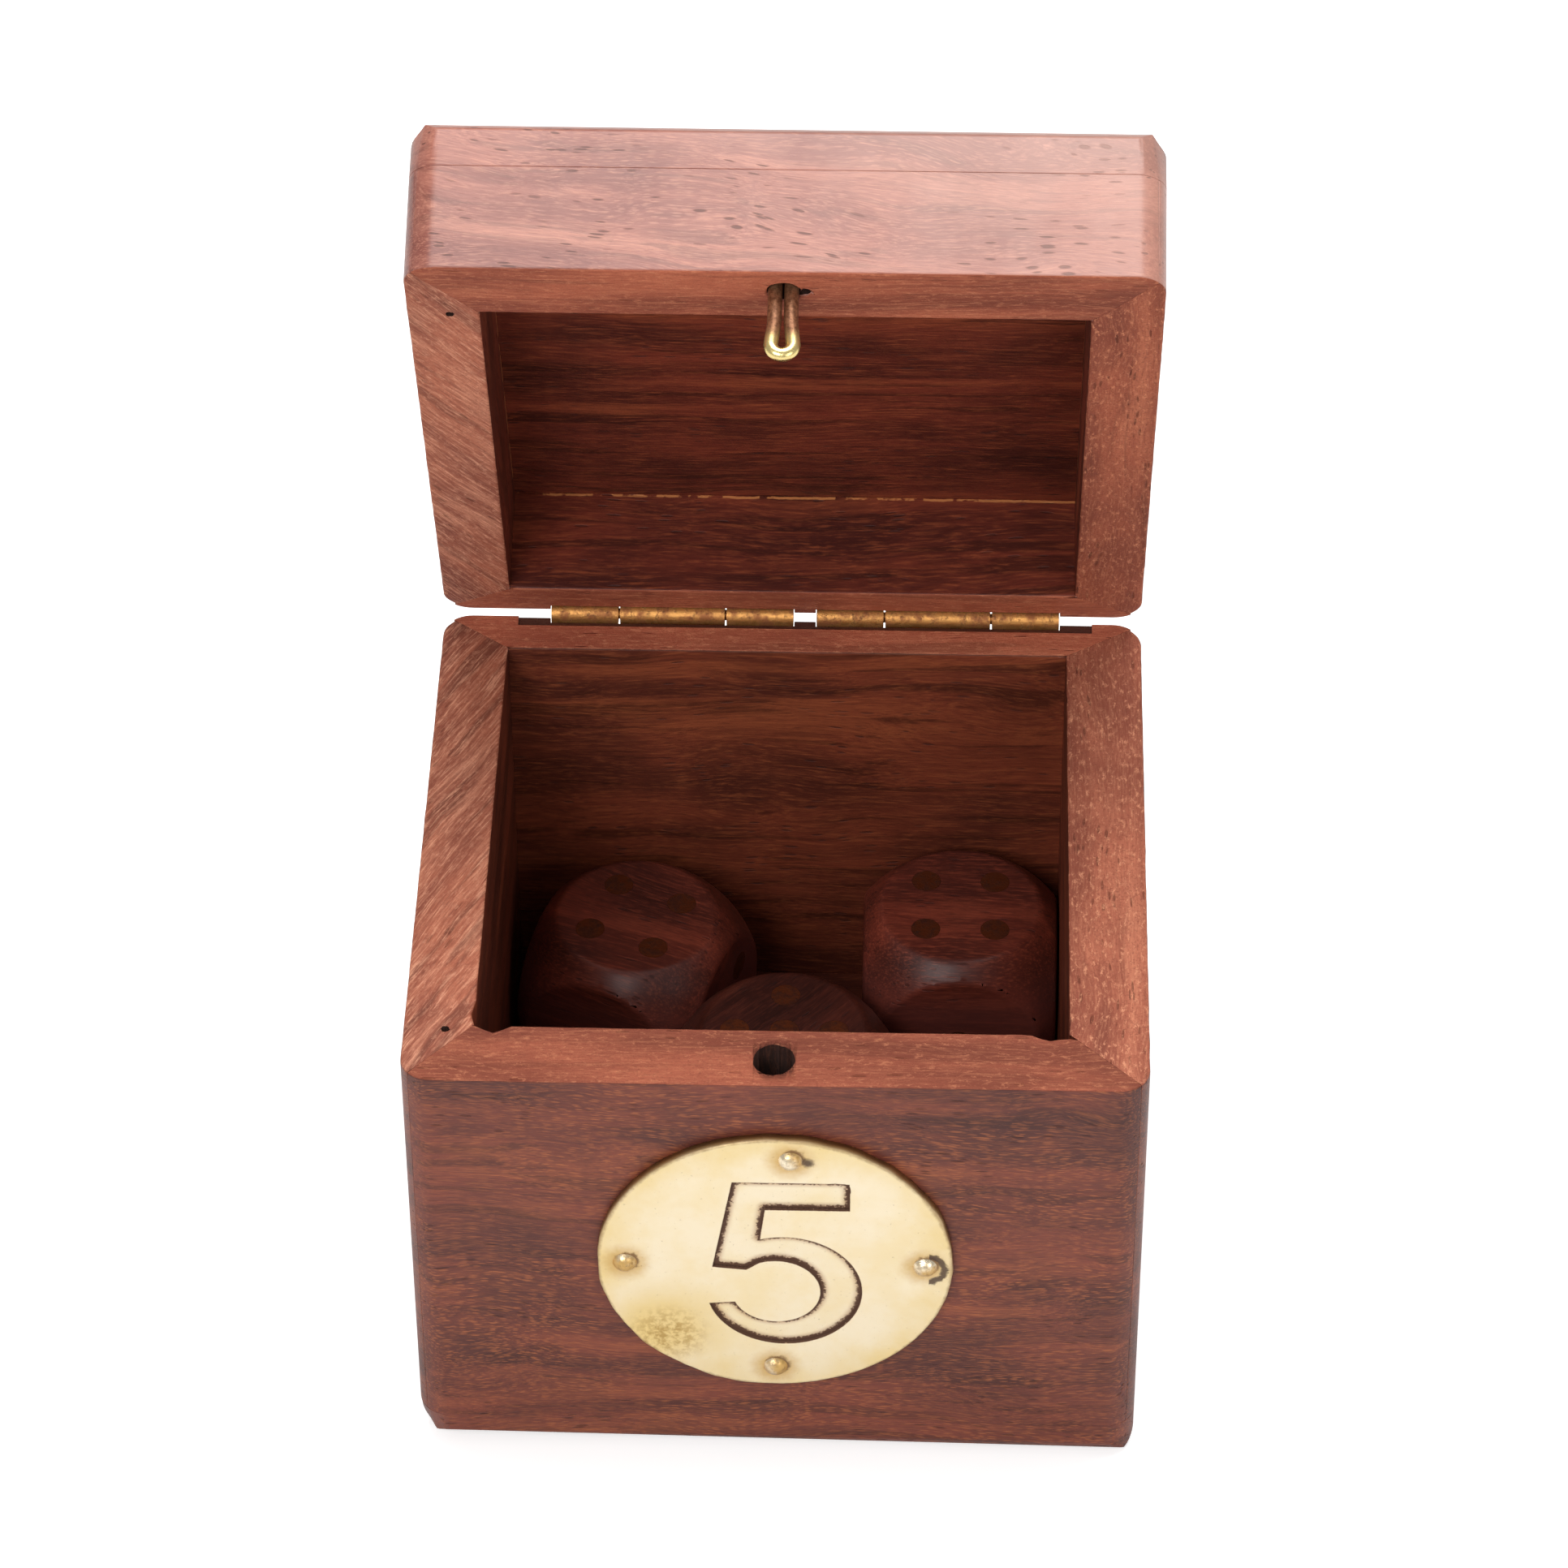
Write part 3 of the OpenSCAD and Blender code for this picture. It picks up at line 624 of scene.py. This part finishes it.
def die_finish(name, turn, painted_light):
    """Oiled dark wood, with its grain turned with the die. Its sides carry a painted pink sheen, and each
    die's tones are scaled as painted light, some dice more lit than others."""
    # Painted sheen: below the top flat, the sides are mixed towards a pale pink.
    def side_sheen(f, here, shade):
        return f.mix(f.ramp(f.parts(here)[2], 25.5 * MM, 20 * MM) * 0.45, shade, colour(132, 72, 66))

    tones = [colour(*(c * painted_light for c in tone)) for tone in ((54, 23, 18), (86, 37, 27), (126, 62, 44))]
    return wood(name, tones, turn=(0, 0, -turn), axis=0, waves=5, fleck=0.25, pores=0.5, streak=0.45,
                gloss=0.45, coat=0.2, relief=0.04, marks=side_sheen)


# The box's boards

def board(node, body, faces, edges, chips=()):
    """A board with worn edges: faces(normal, place) names a face's finish, and edges(place) is an edge's
    share of the wear."""
    piece = copy_of(node, "worn_" + node)
    if body == "lid":
        carry(piece, CLOSED)
    if node in TEARS:
        cut_out(piece, ragged_hole(*TEARS[node]))
    if node in BORES:
        close_hole(piece, *BORES[node][:2])
    split_long_edges(piece, 1.3 * MM)
    ease_edges(piece, lambda e: edges(middle(e)), 0.3 * MM)
    for place, radius, push in chips:
        chip(piece, place, radius, push)
    wear(piece, 0.1 * MM)
    if node in BORES:
        cut_out(piece, ragged_hole(*BORES[node]))
    even_shading(piece)
    names = sorted(set(faces(p.normal, p.center) for p in piece.data.polygons))
    for name in names:
        piece.data.materials.append(WOODS[body][name])
    for p in piece.data.polygons:
        p.material_index = names.index(faces(p.normal, p.center))
    if body == "lid":
        carry(piece, CLOSED.inverted())
    return finish_piece(piece, body, "lid_wood" if body == "lid" else "body_wood", node)


def wall_faces(node, rim_side, inward, letter, rim, rim_z):
    """Which finish each face of a wall has: its rim, a hole's side, its inside or its outside."""
    holes = [(Vector(entry[0]).xy * MM, 0.56 * entry[1] * MM) for entries in (BORES, TEARS)
             for name, entry in entries.items() if name == node]

    def name(normal, place):
        below = (rim_z - place.z) * rim_side
        if below > 0.25 * MM and any((place.xy - middle).length < radius for middle, radius in holes):
            return "bore"
        if normal.z * rim_side > 0.55:
            return rim
        if normal.dot(inward) > 0.5:
            return "in_" + letter
        return "out_" + letter
    return name


def rim_edges(rim_z, mitres, hinged):
    """Full wear along the rim, and little at the mitres, the seams and a hinged wall's shallow cuts."""
    def share(place):
        if hinged and place.y > HALF_D - HINGE_CUT:
            return 0.16
        if abs(place.z - rim_z) > 0.05 * MM:
            return 0.22
        on_mitre = any(abs((place.xy - a).cross(b - a)) / (b - a).length < 0.06 * MM for a, b in mitres)
        return 0.16 if on_mitre else 1.0
    return share


def mitre_lines(front, back, left, right):
    """The four mitres in plan, each from the outer to the inner corner, for those wall thicknesses in mm."""
    lines = []
    for sx, side in ((-1, left), (1, right)):
        for sy, end in ((-1, front), (1, back)):
            outer = Vector((sx * HALF_W, sy * HALF_D))
            inner = Vector((sx * (HALF_W - side * MM), sy * (HALF_D - end * MM)))
            lines.append((outer, inner))
    return lines


WALLS = (
    ("front_wall", (0, 1, 0), "x", "rim_x"),
    ("back_wall", (0, -1, 0), "x", "rim_back"),
    ("left_wall", (1, 0, 0), "y", "rim_left"),
    ("right_wall", (-1, 0, 0), "y", "rim_right"),
)
# Splinters broken off the rims: place, radius and push
BODY_CHIPS = {
    "front_wall": (
        ((-27.4, -26.15, 52.5), 1.9, (0, -0.55, -0.35)),
        ((26.6, -26.15, 52.5), 2.2, (0, -0.5, -0.3)),
        ((27.9, -26.15, 52.5), 1.2, (0, -0.3, -0.2)),
    ),
    "left_wall": (((-29.1, -24.6, 52.5), 1.8, (-0.35, 0, -0.25)),),
}
# Ragged holes: place, width along X, depth along Y, half height, and seed of the ragged outline. BORES are
# the catch's hole and the nail holes in the left rims, and TEARS the torn wood round the wire in the lid.
BORES = {
    "front_wall": ((-0.1, -30.32, 52.5), 4.1, 4.1, 8, 3),
    "left_wall": ((-31.9, -26.85, 52.5), 0.85, 0.85, 2, 5),
    "lid_left_wall": ((-31.9, -25.35, 52.7), 0.85, 0.85, 2, 5),
}
TEARS = {"lid_front_wall": ((0.5, -30.1, 52.7), 4.0, 1.75, 0.9, 8)}


def boards():
    halves = (("", "box", 1, RIM_Z, mitre_lines(7.6, 5, 6.9, 7.8), BODY_CHIPS),
              ("lid_", "lid", -1, LID_RIM_Z, mitre_lines(8.1, 4.3, 7, 7), {}))
    for prefix, body, side, rim_z, mitres, chips in halves:
        for name, inward, letter, rim in WALLS:
            node = prefix + name
            board(node, body, wall_faces(node, side, Vector(inward), letter, rim, rim_z),
                  rim_edges(rim_z, mitres, name == "back_wall"), chips.get(name, ()))
    board("base_panel", "box", lambda n, p: "in_x" if n.z > 0.9 and p.z > 5 * MM else "out_x", lambda p: 0.25,
          (((-35.3, -33.0, 0.2), 3.2, (0.7, 0.4, 0.5)),))
    board("lid_top_panel", "lid", lambda n, p: "in_x" if n.z < -0.9 else "out_x", lambda p: 0.25,
          tuple(((side * 35.3, -33.0, 70), 2.8, (-side * 0.5, 0.3, -0.4)) for side in (-1, 1)))


# Fittings and dice

def shade_numeral_recess(piece):
    """In edit mode, cuts the numeral's floor into small squares and writes to an attribute how near each
    corner is to the numeral's walls, for the painted shade there."""
    def on_floor(face):
        return abs(face.calc_center_median().y - NUMERAL_FLOOR_Y) < 0.01 * MM and face.normal.y < -0.9

    for along in (Vector((1, 0, 0)), Vector((0, 0, 1))):
        for step in range(-32, 33):
            pick(piece, "faces", on_floor)
            bpy.ops.mesh.bisect(plane_co=PLATE_AT + along * (step * 0.4 + 0.13) * MM, plane_no=along)
    mesh = bmesh.from_edit_mesh(piece.data)
    layer = mesh.verts.layers.float.new("scorch")

    def inside(place):
        return (place - PLATE_AT).xz.length < NUMERAL_REACH

    walls = [f for f in mesh.faces if abs(f.normal.y) < 0.5 and inside(f.calc_center_median())]
    corners = [v.co.copy() for f in walls for v in f.verts]
    ends = itertools.accumulate(len(f.verts) for f in walls)
    tree = BVHTree.FromPolygons(corners, [range(end - len(f.verts), end) for f, end in zip(walls, ends)])
    for v in mesh.verts:
        if inside(v.co) and v.co.y < NUMERAL_FLOOR_Y + 0.01 * MM:
            reach = SHADE_REACH if v.co.y > PLATE_AT.y + 0.01 * MM else 0.12 * MM
            v[layer] = max(0, 1 - tree.find_nearest(v.co)[3] / reach)
    bmesh.update_edit_mesh(piece.data)


def number_plate():
    """The hand-cut disc: an uneven outline, a soft front edge, and painted shade on the numeral's floor round
    its sides.
    """
    piece = copy_of("number_plate", "stamped_plate")
    split_long_edges(piece, 0.8 * MM)
    edit(piece)
    pick(piece, "verts", lambda v: (v.co - PLATE_AT).xz.length > PLATE_R - 0.1 * MM)
    bpy.ops.transform.resize(value=(0.989, 1, 0.989), center_override=PLATE_AT)
    leave()
    outline = piece.vertex_groups.new(name="outline")
    outline.add([v.index for v in piece.data.vertices if v.select], 1, "REPLACE")
    clouds = bpy.data.textures.new("hand_cut", "CLOUDS")
    clouds.noise_scale = 3.2 * MM
    for direction in "XZ":
        modifier(piece, "DISPLACE", texture=clouds, texture_coords="LOCAL", strength=0.36 * MM,
                 mid_level=0.5, direction=direction, vertex_group="outline")
    front_y = PLATE_AT.y

    def width(edge):
        place = middle(edge)
        if abs(place.y - front_y) > 0.01 * MM:
            return 0
        away = (place - PLATE_AT).xz.length
        return 1 if away > 16.5 * MM else 0.3 if away < 13 * MM else 0

    ease_edges(piece, width, 0.22 * MM)
    even_shading(piece)
    edit(piece)
    pick(piece, "faces", lambda f: f.calc_center_median().y < front_y + 0.01 * MM and f.normal.y < -0.99)
    bpy.ops.mesh.inset(thickness=0.1 * MM, depth=0)
    shade_numeral_recess(piece)
    leave()
    piece.data.materials.append(plate_finish())
    return finish_piece(piece, "box", "plate_brass", "number_plate")


def catch_wire():
    """The spring wire, bent from one length: leg, splay, round bend, splay and leg."""
    bpy.ops.object.select_all(action="DESELECT")
    start = Vector((CATCH_X - LEG_X, CATCH_Y, LID_RIM_Z + 5.5 * MM))
    bpy.ops.mesh.primitive_circle_add(vertices=20, radius=WIRE_R, location=start, fill_type="NGON")
    piece = named("spring_wire")
    edit(piece)
    splay, straight = BEND_R - LEG_X, 3.2 * MM

    def draw(x, z, steps):
        for _ in range(steps):
            bpy.ops.mesh.extrude_region_move(TRANSFORM_OT_translate={"value": (x / steps, 0, z / steps)})

    draw(0, -5.5 * MM - straight, 8)
    draw(-splay, straight + BEND_Z, 4)
    bpy.ops.mesh.spin(steps=22, angle=math.pi, center=(CATCH_X, CATCH_Y, LID_RIM_Z + BEND_Z), axis=(0, 1, 0))
    draw(-splay, -straight - BEND_Z, 4)
    draw(0, 5.5 * MM + straight, 8)
    bpy.ops.mesh.select_all(action="SELECT")
    bpy.ops.mesh.remove_doubles(threshold=0.001 * MM)
    bpy.ops.mesh.normals_make_consistent(inside=False)
    leave()
    only(piece)
    bpy.ops.object.shade_smooth_by_angle(angle=math.radians(50))
    piece.data.materials.append(wire_finish())
    carry(piece, CLOSED.inverted())
    return finish_piece(piece, "lid", "wire_brass", "catch_clip")


def dice():
    """Each die keeps the ball-cut shape and bores of its solid, with the edge of every flat eased."""
    pips = brass("pip_brass", colour(128, 70, 42), colour(92, 46, 30), colour(56, 26, 19), 0.6, 0.6, 1.2)
    turns = {"die_1": math.radians(-22), "die_3": math.radians(45)}
    # Painted light: each die's tones are scaled by how much light falls on it.
    painted_light = {"die_1": 1.35, "die_2": 1.45, "die_3": 0.95, "die_4": 1.1, "die_5": 1.2}
    for node, light_level in painted_light.items():
        low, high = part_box(node)
        at = (low + high) / 2
        piece = copy_of(node, "oiled_" + node)
        modifier(piece, "TRIANGULATE", min_vertices=5)
        ease_edges(piece, lambda e: 1 if (middle(e) - at).length > DIE_BALL - 0.15 * MM else 0, 0.4 * MM)
        modifier(piece, "TRIANGULATE", min_vertices=5)
        only(piece)
        bpy.ops.object.shade_smooth_by_angle(angle=math.radians(35))
        modifier(piece, "WEIGHTED_NORMAL", keep_sharp=True, weight=100)
        piece.data.materials.append(die_finish(f"{node}_wood", turns.get(node, 0), light_level))
        finish_piece(piece, node, "dice_wood", node)
        paint(pips, node + "_pips")


def paint(material, *nodes):
    for node in nodes:
        mesh = frame["nodes"][node].data
        mesh.materials.clear()
        mesh.materials.append(material)


# Stage: each lamp's name, place and size in metres, and power in watts

WORLD_LIGHT = 0.4
LAMPS = (
    ("overhead", (0.06, 0.32, 0.95), 0.7, 8.5),
    ("front_left", (-0.35, -0.75, 0.7), 0.5, 5.0),
    ("front_right", (0.6, -0.8, 0.45), 0.5, 2.0),
)


def stage():
    bpy.ops.object.select_all(action="DESELECT")
    bpy.ops.mesh.primitive_plane_add(size=6, location=(0, 0, 0))
    floor = named("floor")
    f = Finish("floor_white", Base_Color=(0.8, 0.8, 0.8), Roughness=0.9, Specular_IOR_Level=0.1,
               Emission_Strength=1)
    seen = Amount(f, f.add("LightPath").outputs["Is Camera Ray"])
    f.set(Emission_Color=f.mix(seen, (0, 0, 0), (0.5, 0.5, 0.5)))
    floor.data.materials.append(f.material)

    world = bpy.data.worlds.new("studio")
    bpy.context.scene.world = world
    world.use_nodes = True
    nodes, links = world.node_tree.nodes, world.node_tree.links
    path = nodes.new("ShaderNodeLightPath")
    shown = nodes.new("ShaderNodeMath")
    shown.operation = "MAXIMUM"
    links.new(path.outputs["Is Camera Ray"], shown.inputs[0])
    links.new(path.outputs["Is Transmission Ray"], shown.inputs[1])
    level = nodes.new("ShaderNodeMapRange")
    level.inputs["To Min"].default_value = WORLD_LIGHT
    level.inputs["To Max"].default_value = 1.0
    links.new(shown.outputs[0], level.inputs["Value"])
    links.new(level.outputs[0], nodes["Background"].inputs["Strength"])
    nodes["Background"].inputs["Color"].default_value = (1, 1, 1, 1)

    for name, place, size, power in LAMPS:
        lamp = bpy.data.lights.new(name, "AREA")
        lamp.size, lamp.energy = size, power
        light = bpy.data.objects.new(name, lamp)
        light.location = place
        aim = Vector((0, 0, 0.06)) - light.location
        light.rotation_euler = aim.to_track_quat("-Z", "Y").to_euler()
        bpy.context.scene.collection.objects.link(light)

    lens = bpy.data.cameras.new("camera")
    lens.lens, lens.sensor_width = 144.679, 36
    camera = bpy.data.objects.new("camera", lens)
    right = Vector((0.999624, 0.027164, -0.0037))
    up = Vector((-0.015677, 0.677114, 0.735711))
    back = Vector((0.02249, -0.735376, 0.677286))
    turn = Matrix((right, up, back)).transposed().to_4x4()
    camera.matrix_world = Matrix.Translation(Vector((14.032, -456.505, 480.969)) * MM) @ turn
    bpy.context.scene.collection.objects.link(camera)
    bpy.context.scene.camera = camera
    bpy.context.scene.view_settings.view_transform = "Standard"


WOODS = {"box": body_woods(), "lid": lid_woods()}
boards()
dice()
catch_wire()
hinge = brass("hinge_brass", colour(214, 156, 90), colour(158, 100, 60), colour(84, 50, 30), 0.45, 0.6, 1.4)
paint(hinge, "left_hinge_body_leaf", "right_hinge_body_leaf", "left_hinge_pin", "right_hinge_pin",
      "body_hinge_screws", "left_hinge_lid_leaf", "right_hinge_lid_leaf", "lid_hinge_screws")
pins = brass("pin_brass", colour(250, 234, 204), colour(206, 166, 100), colour(96, 60, 36), 0.25, 0.4)
paint(pins, "plate_pins")
number_plate()
stage()
